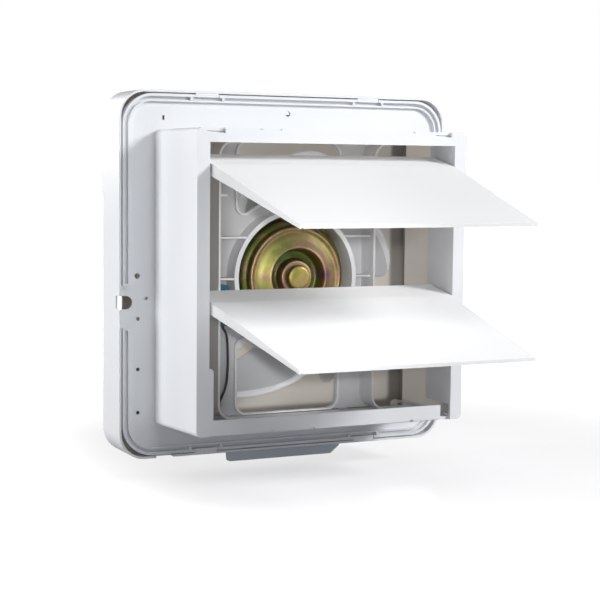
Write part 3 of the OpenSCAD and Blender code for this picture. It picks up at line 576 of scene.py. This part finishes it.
def smooth_path(points, each=8):
    """A Catmull-Rom curve through the points: in each span a cubic of t whose slope at either
    end is half the way between the neighbours there."""
    p = np.asarray(points, float)
    p = np.concatenate([[2 * p[0] - p[1]], p, [2 * p[-1] - p[-2]]])
    t = np.linspace(0, 1, each, endpoint=False)[None, :, None]
    a, b, c, d = (p[i:len(p) - 3 + i, None] for i in range(4))
    curve = 0.5 * (2 * b + (c - a) * t + (2 * a - 5 * b + 4 * c - d) * t ** 2
                   + (3 * b - a - 3 * c + d) * t ** 3)
    return np.concatenate([curve.reshape(-1, 3), p[-2:-1]])


def tube(path, radius, sides=16):
    """A circle carried along a path, square to it, closed with flat ends."""
    ahead = np.gradient(path, axis=0)
    ahead /= np.linalg.norm(ahead, axis=1)[:, None]
    # Crossed with a direction that no stretch of the path follows
    side = np.cross(ahead, (0.31, 0.92, 0.2))
    side /= np.linalg.norm(side, axis=1)[:, None]
    up = np.cross(side, ahead)
    angle = np.linspace(0, 2 * np.pi, sides, endpoint=False)[None, :, None]
    grid = path[:, None] + radius * (np.cos(angle) * side[:, None] + np.sin(angle) * up[:, None])
    faces = quads(len(path), sides, False, True).tolist()
    last = (len(path) - 1) * sides
    faces += [list(range(sides)), [last + k for k in range(sides)]]
    return grid, faces


# Outlines of this fan's own pieces, in mm: radius and Y, or share from root to tip and degrees
REAR_SHELL = [(47.5, 0), (47.5, 9.6), (46.9, 11.4), (44.9, 13.1), (43.0, 14.2), (42.4, 17.1),
              (41.5, 19.1), (40.4, 19.8), (39.2, 18.9), (38.0, 17.7), (35.4, 18.5),
              (31.3, 20.5), (27.6, 22.9), (25.6, 24.2), (24.7, 24.2), (23.9, 22.8),
              (23.3, 19.1), (22.6, 13.6), (21.6, 12.1), (20.2, 11.7), (16.4, 11.7),
              (15.3, 12.3), (14.7, 13.8), (14.3, 18.6), (13.9, 20.2), (13.0, 20.8),
              (3.6, 20.8), (3.6, 18), (6, 18), (6, 9.8), (22.1, 9.8), (25.9, 17.9),
              (31.4, 17.2), (37.5, 15.2), (40.8, 13.5), (44.6, 9.8), (46.3, 8.8), (46.3, -1.6),
              (58.9, -1.6), (58.9, 0)]
FRONT_SHELL = [(58.9, -1.6), (58.9, -3.2), (47.5, -3.2), (47.5, -13.8), (44.3, -17),
               (11.1, -17), (9.5, -22), (3.6, -22), (3.6, -21), (6, -21), (6, -15.8),
               (43.1, -15.8), (46.3, -12.6), (46.3, -1.6)]
HUB_CAP = [(0, 20.8), (10.2, 20.8), (10.2, 24.6), (9.6, 26.1), (8.0, 26.75), (0, 26.9)]
FAN_CUP = [(3, -31), (50, -31), (52, -29), (52, -11), (50, -11), (50, -28.8), (8, -28.8),
           (8, -23.5), (3, -23.5)]
BLADE_REAR = [(0, 228), (0.23, 235), (0.42, 242), (0.545, 247.6), (0.645, 256), (0.735, 266.4),
              (0.82, 275), (0.89, 281), (0.97, 289.5), (1, 295)]
BLADE_FRONT = [(0, 276), (0.23, 284), (0.42, 292), (0.545, 296), (0.735, 302), (0.88, 303),
               (0.96, 302), (1, 299)]
LEAD = [(61, 5.2, -42), (59.6, 4.8, -45.5), (56.8, 4.2, -50), (55.6, 3.8, -57),
        (55.2, 3.6, -64), (55, 3.6, -72), (55.2, 3.6, -81), (56, 3.6, -90), (57.8, 3.6, -97),
        (59.8, 3.6, -101.2), (61.6, 3.8, -104.6), (62.4, 2.6, -107.4), (62.5, 0, -108.8),
        (62.6, -2.4, -110.4), (63.6, -4, -113.6), (66.6, -4, -118.6), (71, -4, -122.4),
        (78, -4, -124.8), (88, -4, -125.6), (98, -4, -125.6), (107, -4, -124.8),
        (114, -4, -122.6), (119, -4, -118.6), (121.6, -4, -112.6), (122.6, -4, -106.6),
        (123.4, -4, -102.2), (125.5, -4, -99)]
ROOT_R, TIP_R = 50.0, 114.0

# The tube that a blade is cut from: its radius, its axis and its sweep in degrees
TUBE_R, TUBE_Y, TUBE_Z, TUBE_SWEEP = 84.9, 53.8, -26.9, 33.4

# Width of a blade's flat lip as a share of its chord, and how much of the arch is left there
LIP, LIP_ARCH = 0.17, 0.35

# A blade is at its full thickness from 1 / 14 of the chord and 1 / 20 of the span inwards,
# and a little of it is left at the very tip
CHORD_RISE, TIP_RISE, TIP_LEFT = 14.0, 20.0, 0.12

# Degrees past a blade's rear edge between which its painted highlight band ends
BLADE_HIGHLIGHT = (7.0, 10.0)

# Three screws of the terminal block: X, lowest Z, spacing, Y, radius and height of a head
TERMINALS = (133, -108.5, 13.5, -9.4, 1.5, -1.8)


def blade_surface(turn, half_thick, span=44, chord=34):
    """One blade: a grid of share from root to tip and share from rear to front edge. Its
    angle runs between the two edge curves, its Y is the arch of a tube whose axis is swept
    back, which lies nearly flat within the lip, and the two skins close in a rounded rim."""
    share = np.sin(np.linspace(0, np.pi / 2, span))[:, None]
    radius = ROOT_R + (TIP_R - ROOT_R) * share
    rear = np.interp(share, *zip(*BLADE_REAR))
    front = np.interp(share, *zip(*BLADE_FRONT))
    t = (0.5 - 0.5 * np.cos(np.linspace(0, np.pi, chord)))[None, :]
    angle = np.radians(rear + (front - rear) * t)
    x, z = radius * np.cos(angle), radius * np.sin(angle)
    held = np.where(t < LIP, LIP - (LIP - t) * LIP_ARCH, t)
    off_axis = radius * np.sin(np.radians(rear + (front - rear) * held + TUBE_SWEEP)) - TUBE_Z
    arch = TUBE_Y - np.sqrt(np.maximum(TUBE_R ** 2 - off_axis ** 2, 1.0))
    rim = np.minimum(np.minimum(t, 1 - t) * CHORD_RISE, (1.0 - share) * TIP_RISE + TIP_LEFT)
    half = half_thick * np.sqrt(np.clip(1 - (1 - np.clip(rim, 0, 1)) ** 2, 0, 1))
    a = math.radians(turn)
    xs = x * math.cos(a) - z * math.sin(a)
    zs = x * math.sin(a) + z * math.cos(a) + AXIS_Z
    upper = np.stack([xs, arch + half, zs], -1)
    lower = np.stack([xs, arch - half, zs], -1)
    loop = np.concatenate([upper, lower[:, ::-1]], 1)
    faces = quads(span, 2 * chord, False, True).tolist()
    last = (span - 1) * 2 * chord
    caps = [[j, j + 1, 2 * chord - 2 - j, 2 * chord - 1 - j] for j in range(chord - 1)]
    faces += caps + [[last + c for c in cap] for cap in caps]
    return loop, faces


def screw_head(x, z, y, radius, height):
    """A turned screw head whose top dips slightly at its middle."""
    profile = [(0, y), (radius, y), (radius, y + height), (radius * 0.86, y + height * 1.18),
               (radius * 0.3, y + height * 0.83), (0, y + height * 0.8)]
    return turned(profile, 32, False, (x, z))


class FanFinishes(PropertyGroup):
    """Colours of the fan's mouldings and the dullness of its plating"""
    housing: FloatVectorProperty(
        name="Housing", description="Colour of the flange, the duct and the louvre frame",
        subtype="COLOR", default=(0.80, 0.815, 0.84), min=0, max=1)
    cover: FloatVectorProperty(
        name="Cover", description="Colour of the front cover's shell",
        subtype="COLOR", default=(0.83, 0.84, 0.855), min=0, max=1)
    flap: FloatVectorProperty(
        name="Flaps", description="Colour of the two louvre flaps",
        subtype="COLOR", default=(0.93, 0.935, 0.94), min=0, max=1)
    bracket: FloatVectorProperty(
        name="Bracket", description="Colour of the motor bracket",
        subtype="COLOR", default=(0.82, 0.82, 0.825), min=0, max=1)
    impeller: FloatVectorProperty(
        name="Impeller", description="Colour of the impeller and its nut",
        subtype="COLOR", default=(0.80, 0.81, 0.83), min=0, max=1)
    # Painted warm light: this tone is painted on the faces inside the duct, the cover and the
    # panel for the light that comes through the thin front and bounces inside; the panel's front
    # takes the cover's colour
    panel: FloatVectorProperty(
        name="Inside", description="Warm colour of the faces seen through the duct",
        subtype="COLOR", default=(0.90, 0.84, 0.77), min=0, max=1)
    slate: FloatVectorProperty(
        name="Oil cup", description="Colour of the oil cup",
        subtype="COLOR", default=(0.64, 0.69, 0.765), min=0, max=1)
    teal: FloatVectorProperty(
        name="Capacitor", description="Colour of the capacitor's case",
        subtype="COLOR", default=(0.03, 0.17, 0.20), min=0, max=1)
    lead: FloatVectorProperty(
        name="Lead", description="Colour of the motor lead",
        subtype="COLOR", default=(0.05, 0.05, 0.055), min=0, max=1)
    plating_dullness: FloatProperty(
        name="Plating dullness", description="Lowest roughness of the zinc plating",
        default=0.42, min=0.05, max=0.6, subtype="FACTOR")


class FanForms(PropertyGroup):
    """Sizes of the forms that the steps work out"""
    edge_round: FloatProperty(
        name="Edge rounding", description="Width of the rounding on moulded edges",
        default=0.00035, min=0.0001, max=0.001, unit="LENGTH", precision=5)
    blade_count: IntProperty(
        name="Blades", description="Number of impeller blades", default=6, min=5, max=7)
    blade_thickness: FloatProperty(
        name="Blade thickness", description="Thickness of a blade at its middle",
        default=0.0018, min=0.001, max=0.003, unit="LENGTH", precision=4)
    lead_diameter: FloatProperty(
        name="Lead diameter", description="Diameter of the motor lead",
        default=0.002, min=0.0014, max=0.004, unit="LENGTH", precision=4)


class FanStudio(PropertyGroup):
    """Powers of the lamps and the height of the floor"""
    key_power: FloatProperty(
        name="Key", description="Power of the softbox above", default=35.0, min=0, unit="POWER")
    side_power: FloatProperty(
        name="Side", description="Power of the softbox beside the duct", default=20.0, min=0,
        unit="POWER")
    high_power: FloatProperty(
        name="High", description="Power of the softbox high in front of the flaps", default=6.2,
        min=0, unit="POWER")
    beam_power: FloatProperty(
        name="Beam", description="Power of the spot that lights the inside of the duct",
        default=25.0, min=0, unit="POWER")
    back_power: FloatProperty(
        name="Room side", description="Power of the softbox before the front panel",
        default=9.0, min=0, unit="POWER")
    fill_power: FloatProperty(
        name="Fill", description="Power of the small softbox by the camera", default=1.6, min=0,
        unit="POWER")
    room_light: FloatProperty(
        name="Room", description="Strength of the light from all round", default=0.14, min=0)
    floor_height: FloatProperty(
        name="Floor height", description="Height of the floor below the duct's axis",
        default=-0.172, unit="LENGTH")


class EXFAN_OT_finishes(Operator):
    """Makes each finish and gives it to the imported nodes"""
    bl_idname = "exfan.finishes"
    bl_label = "Finishes"

    def execute(self, context):
        hues = context.scene.exfan_finishes
        blades = context.scene.exfan_forms.blade_count
        looks = [
            (("shutter_frame", "link_bar"), moulded("white_moulding", hues.housing)),
            # The duct, the cover and the panel are painted with warm light on their inner faces,
            # the duct and the panel with a glow there, the flange's hole walls with painted shade
            # and the panel's floor past the duct with a painted shadow
            (("housing",), moulded(
                "duct_moulding", hues.housing, inside=hues.panel, half=0.1164, corner=0.003,
                y_low=-0.0028, y_high=0.070, glow=0.07, holes=0.9)),
            (("front_cover",), moulded(
                "cover_moulding", hues.cover, 0.30, 0.1, inside=hues.panel, half=0.1474,
                corner=0.0192, y_low=-0.0345, y_high=-0.0005)),
            (("front_panel",), moulded(
                "panel_moulding", hues.cover, 0.34, 0.1, inside=hues.panel, half=0.17,
                corner=0.02, y_low=-0.0374, y_high=0.02, glow=0.095, dark_floor=True)),
            (("upper_flap", "lower_flap"), flap_finish("flap_moulding", hues.flap)),
            (("motor_bracket",), ribbed("bracket_moulding", hues.bracket)),
            (("impeller", "impeller_nut"), bladed("fan_moulding", hues.impeller, blades)),
            (("oil_cup",), moulded("slate_moulding", hues.slate, 0.35)),
            (("terminal_block",), moulded("terminal_moulding", (0.05, 0.055, 0.06), 0.45)),
            (("capacitor",), moulded("capacitor_case", hues.teal, 0.4)),
            (("motor_lead", "thrust_washers"), moulded("black_cover", hues.lead, 0.5)),
            (("motor_rear_shell", "motor_front_shell", "bearing_cap"),
             zinc("zinc_plating", hues.plating_dullness)),
            (("bracket_screws", "motor_screws", "motor_shaft"),
             bare_steel("bright_steel", (0.62, 0.63, 0.65))),
            (("rear_bearing", "front_bearing"),
             bare_steel("sintered_bronze", (0.50, 0.34, 0.18), 0.45)),
            (("stator_core", "rotor_core"), laminated("laminations", (0.35, 0.36, 0.38))),
            (("stator_coils",), winding("copper_winding", (0.60, 0.26, 0.12)))]
        for names, material in looks:
            dress(names, material)
        return {"FINISHED"}


class EXFAN_OT_housing(Operator):
    """Wall flange with its square duct, edges rounded as moulded"""
    bl_idname = "exfan.housing"
    bl_label = "Flange and duct"

    def execute(self, context):
        edge = context.scene.exfan_forms.edge_round
        softened("flange_and_duct", "housing", "fan_body", finish("duct_moulding"), edge)
        return {"FINISHED"}


class EXFAN_OT_louvre(Operator):
    """Louvre frame and its two hanging flaps"""
    bl_idname = "exfan.louvre"
    bl_label = "Louvre"

    def execute(self, context):
        edge = context.scene.exfan_forms.edge_round
        softened("louvre_frame", "shutter_frame", "fan_body", finish("white_moulding"), edge)
        for level in ("upper", "lower"):
            softened(level + "_louvre", level + "_flap", level + "_flap",
                     finish("flap_moulding"), edge)
        return {"FINISHED"}


class EXFAN_OT_bracket(Operator):
    """Bracket that carries the motor across the duct"""
    bl_idname = "exfan.bracket"
    bl_label = "Motor bracket"

    def execute(self, context):
        edge = context.scene.exfan_forms.edge_round
        softened("bracket_moulding", "motor_bracket", "fan_body", finish("bracket_moulding"),
                 edge * 1.2)
        return {"FINISHED"}


class EXFAN_OT_motor(Operator):
    """Pressed shells of the motor and the cap on its rear hub"""
    bl_idname = "exfan.motor"
    bl_label = "Motor shells"

    def execute(self, context):
        plate = finish("zinc_plating")
        steps = 6
        cap = eased(HUB_CAP, 0.9, steps)
        # The cap's two ends lie on the axis, so they stay as they are
        cap = np.concatenate([[HUB_CAP[0]], cap[steps:-steps], [HUB_CAP[-1]]])
        for name, outline, node, ring, angle in (
                ("motor_rear_pressing", eased(REAR_SHELL, 1.1), "motor_rear_shell", True, 60.0),
                ("motor_front_pressing", eased(FRONT_SHELL, 1.1), "motor_front_shell", True, 60.0),
                ("hub_cap", cap, "bearing_cap", False, 50.0)):
            piece_from(name, [turned(outline, 192, ring)], plate, "fan_body",
                       [node], angle)
        return {"FINISHED"}


class EXFAN_OT_impeller(Operator):
    """Fan cup with its centre boss and its swept blades"""
    bl_idname = "exfan.impeller"
    bl_label = "Impeller"

    def execute(self, context):
        forms = context.scene.exfan_forms
        half = forms.blade_thickness / MM / 2
        parts = [turned(eased(FAN_CUP, 0.7))]
        parts += [blade_surface(360 / forms.blade_count * i, half)
                  for i in range(forms.blade_count)]
        piece_from("swept_impeller", parts, finish("fan_moulding"), "fan_rotor",
                   ["impeller"])
        return {"FINISHED"}


class EXFAN_OT_wiring(Operator):
    """Motor lead, capacitor, terminal block and the terminals' screws"""
    bl_idname = "exfan.wiring"
    bl_label = "Lead and terminals"

    def execute(self, context):
        forms = context.scene.exfan_forms
        piece_from("motor_lead_cover", [tube(smooth_path(LEAD), forms.lead_diameter / MM / 2)],
                   finish("black_cover"), "fan_body", ["motor_lead"])
        x, lowest, spacing, y, radius, height = TERMINALS
        heads = [screw_head(x, lowest + spacing * i, y, radius, height) for i in range(3)]
        piece_from("terminal_screws", heads, finish("bright_steel"), "fan_body")
        softened("capacitor_case", "capacitor", "fan_body", finish("capacitor_case"),
                 forms.edge_round * 2)
        softened("terminal_body", "terminal_block", "fan_body",
                 finish("terminal_moulding"), forms.edge_round)
        return {"FINISHED"}


class EXFAN_OT_cover(Operator):
    """Front cover's shell, its panel and the oil cup below it"""
    bl_idname = "exfan.cover"
    bl_label = "Cover and oil cup"

    def execute(self, context):
        edge = context.scene.exfan_forms.edge_round
        softened("cover_shell", "front_cover", "cover", finish("cover_moulding"), edge * 1.3)
        softened("cover_panel", "front_panel", "cover", finish("panel_moulding"), edge * 1.2,
                 join=False)
        softened("oil_catcher", "oil_cup", "oil_cup", finish("slate_moulding"), edge * 1.2)
        return {"FINISHED"}


# Softboxes in metres: place, size and the property that holds the power
SOFTBOXES = {
    "top_softbox": ((-1.30, 1.35, 0.86), (0.6, 0.6), "key_power"),
    "side_softbox": ((1.60, -0.20, 0.35), (0.8, 0.8), "side_power"),
    "room_softbox": ((0.70, -1.70, 0.60), (1.0, 1.0), "back_power"),
    "high_softbox": ((0.10, 1.40, 1.15), (0.9, 0.5), "high_power"),
    "camera_softbox": ((0.60, 1.35, 0.16), (0.4, 0.4), "fill_power"),
}
BEAM_PLACE, BEAM_AIM = (0.60, 1.35, 0.16), (-0.022, 0.0, -0.016)

# The camera's place, then its right, up and back directions, as fitted to the photograph
CAMERA_PLACE = (0.54167, 1.15076, 0.08979)
CAMERA_RIGHT = (-0.9012, 0.4334, 0.0102)
CAMERA_UP = (-0.0293, -0.0843, 0.9960)
CAMERA_BACK = (0.4325, 0.8973, 0.0886)
CAMERA_LENS = 90.16


class EXFAN_OT_stage(Operator):
    """Camera, soft lamps, room light and a pale floor that fades into the background"""
    bl_idname = "exfan.stage"
    bl_label = "Studio"

    def execute(self, context):
        scene = context.scene
        studio = scene.exfan_studio
        self.camera(scene)
        self.floor(scene, studio.floor_height)
        for name, (place, size, power) in SOFTBOXES.items():
            self.softbox(scene, name, place, size, getattr(studio, power))
        self.beam(scene, studio.beam_power)
        self.room(scene, studio.room_light)
        scene.view_settings.view_transform = "Standard"
        return {"FINISHED"}

    def camera(self, scene):
        """The camera at the photograph's viewing angle."""
        camera = bpy.data.objects.new("camera", bpy.data.cameras.new("camera"))
        scene.collection.objects.link(camera)
        turn = Matrix((CAMERA_RIGHT, CAMERA_UP, CAMERA_BACK)).transposed().to_4x4()
        camera.matrix_world = Matrix.Translation(CAMERA_PLACE) @ turn
        camera.data.lens = CAMERA_LENS
        camera.data.sensor_width = 36.0
        camera.data.clip_start = 0.05
        camera.data.clip_end = 50.0
        scene.camera = camera

    def floor(self, scene, height):
        """A wide square that keeps the object's soft shadow and its faint mirror image. To the
        camera it glows more the further it is from a point below the object, so that it
        fades to white; to all other light it is plain grey."""
        mesh = bpy.data.meshes.new("floor")
        far = 12.0
        mesh.from_pydata([(-far, -far, height), (far, -far, height), (far, far, height),
                          (-far, far, height)], [], [(0, 1, 2, 3)])
        floor = bpy.data.objects.new("floor", mesh)
        scene.collection.objects.link(floor)
        made = Finish("pale_floor", Roughness=0.16)
        made.set("Base Color", (0.92, 0.92, 0.925))
        glow = made.node("ShaderNodeEmission", {}, (1.0, 1.0, 1.0), 1.62)
        grey = made.node("ShaderNodeBsdfDiffuse", {}, (0.38, 0.38, 0.39))
        x, y, _ = made.parts(made.place())
        # The point lies at X -0.12, and the glow rises sooner towards +X
        aside = x + 0.12 + x.step(0.02, 0.35) * 0.4
        nearest = 0.36
        glow_share = ((aside * aside + y * y) ** 0.5).step(0.20, 0.85) * (1.0 - nearest) + nearest
        path = made.tree.nodes.new("ShaderNodeLightPath")
        seen = made.mixed(glow_share, Wire(made, made.shader.outputs[0]), glow)
        both = made.mixed(Wire(made, path.outputs["Is Camera Ray"]), grey, seen)
        made.tree.links.new(both.socket, made.output.inputs["Surface"])
        mesh.materials.append(made.material)

    def softbox(self, scene, name, place, size, power):
        """A rectangular lamp that faces the duct's middle."""
        data = bpy.data.lights.new(name, "AREA")
        data.shape = "RECTANGLE"
        data.size, data.size_y = size
        data.energy = power
        self.hang(scene, data, Vector(place), Vector())

    def beam(self, scene, power):
        """A soft spot that reaches between the flaps to the motor and its bracket."""
        data = bpy.data.lights.new("opening_beam", "SPOT")
        data.energy = power
        data.spot_size = math.radians(8.0)
        data.spot_blend = 0.3
        data.shadow_soft_size = 0.03
        self.hang(scene, data, Vector(BEAM_PLACE), Vector(BEAM_AIM))

    def hang(self, scene, data, place, aim):
        """Puts a lamp at a place, turned towards its aim."""
        lamp = bpy.data.objects.new(data.name, data)
        scene.collection.objects.link(lamp)
        lamp.location = place
        lamp.rotation_mode = "QUATERNION"
        lamp.rotation_quaternion = (aim - place).to_track_quat("-Z", "Y")

    def room(self, scene, strength):
        """Even light from all round, and plain white where the camera sees past the floor."""
        world = bpy.data.worlds.new("studio")
        scene.world = world
        world.use_nodes = True
        tree = world.node_tree
        tree.nodes.clear()
        out = tree.nodes.new("ShaderNodeOutputWorld")
        mix = tree.nodes.new("ShaderNodeMixShader")
        path = tree.nodes.new("ShaderNodeLightPath")
        room = tree.nodes.new("ShaderNodeBackground")
        seen = tree.nodes.new("ShaderNodeBackground")
        room.inputs[0].default_value = (0.90, 0.94, 1.0, 1.0)
        room.inputs[1].default_value = strength
        seen.inputs[0].default_value = (1, 1, 1, 1)
        tree.links.new(path.outputs["Is Camera Ray"], mix.inputs[0])
        tree.links.new(room.outputs[0], mix.inputs[1])
        tree.links.new(seen.outputs[0], mix.inputs[2])
        tree.links.new(mix.outputs[0], out.inputs[0])


class EXFAN_PT_builder(Panel):
    """The fan's colours, sizes and lamps, and the steps that build it"""
    bl_idname = "EXFAN_PT_builder"
    bl_label = "Wall Exhaust Fan"
    bl_space_type = "VIEW_3D"
    bl_region_type = "UI"
    bl_category = "Exhaust Fan"

    def draw(self, context):
        layout = self.layout
        for group in (context.scene.exfan_finishes, context.scene.exfan_forms,
                      context.scene.exfan_studio):
            box = layout.box()
            for name in group.__annotations__:
                box.prop(group, name)
        for step in STEPS:
            layout.operator(step.bl_idname)


STEPS = (EXFAN_OT_finishes, EXFAN_OT_housing, EXFAN_OT_louvre, EXFAN_OT_bracket, EXFAN_OT_motor,
         EXFAN_OT_impeller, EXFAN_OT_wiring, EXFAN_OT_cover, EXFAN_OT_stage)
GROUPS = {"exfan_finishes": FanFinishes, "exfan_forms": FanForms, "exfan_studio": FanStudio}


def register():
    for group in (*GROUPS.values(), *STEPS, EXFAN_PT_builder):
        bpy.utils.register_class(group)
    for name, group in GROUPS.items():
        setattr(bpy.types.Scene, name, PointerProperty(type=group))


def unregister():
    for name in GROUPS:
        delattr(bpy.types.Scene, name)
    for group in reversed((*GROUPS.values(), *STEPS, EXFAN_PT_builder)):
        bpy.utils.unregister_class(group)


def main():
    register()
    bpy.ops.exfan.finishes()
    bpy.ops.exfan.housing()
    bpy.ops.exfan.louvre()
    bpy.ops.exfan.bracket()
    bpy.ops.exfan.motor()
    bpy.ops.exfan.impeller()
    bpy.ops.exfan.wiring()
    bpy.ops.exfan.cover()
    bpy.ops.exfan.stage()


if __name__ == "__main__":
    main()
